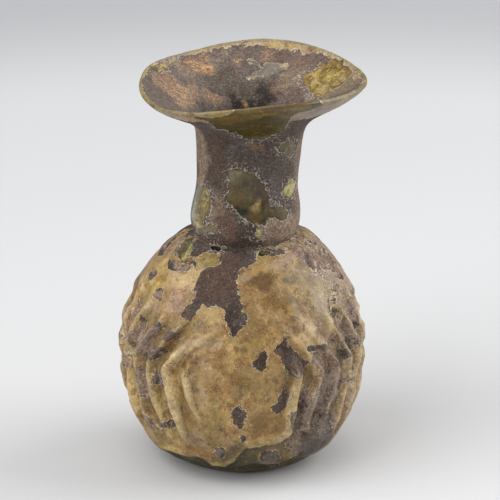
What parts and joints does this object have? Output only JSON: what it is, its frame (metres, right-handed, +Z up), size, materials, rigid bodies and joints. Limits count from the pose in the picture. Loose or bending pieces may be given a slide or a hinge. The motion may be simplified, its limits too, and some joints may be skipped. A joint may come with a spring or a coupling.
{
  "type": "sprinkler flask",
  "caption": "Small hollow glass sprinkler flask: ribbed globular body, pinched wall with a drop hole under a short neck, wide wavy funnel mouth, flat foot ring to stand on.",
  "frame": {"origin": "middle of the foot ring, on the surface that the flask stands on", "axes": "+Z up the body's axis, -Y out of the middle of the front rib panel, +X to the right of it"},
  "size_m": [0.0626, 0.0608, 0.1009],
  "materials": {
    "weathered_glass": "honey-brown glass, iridescent film and brown burial crust, glossy where bare"
  },
  "bodies": {
    "root": {"flask": "weathered_glass"}
  },
  "joints": []
}
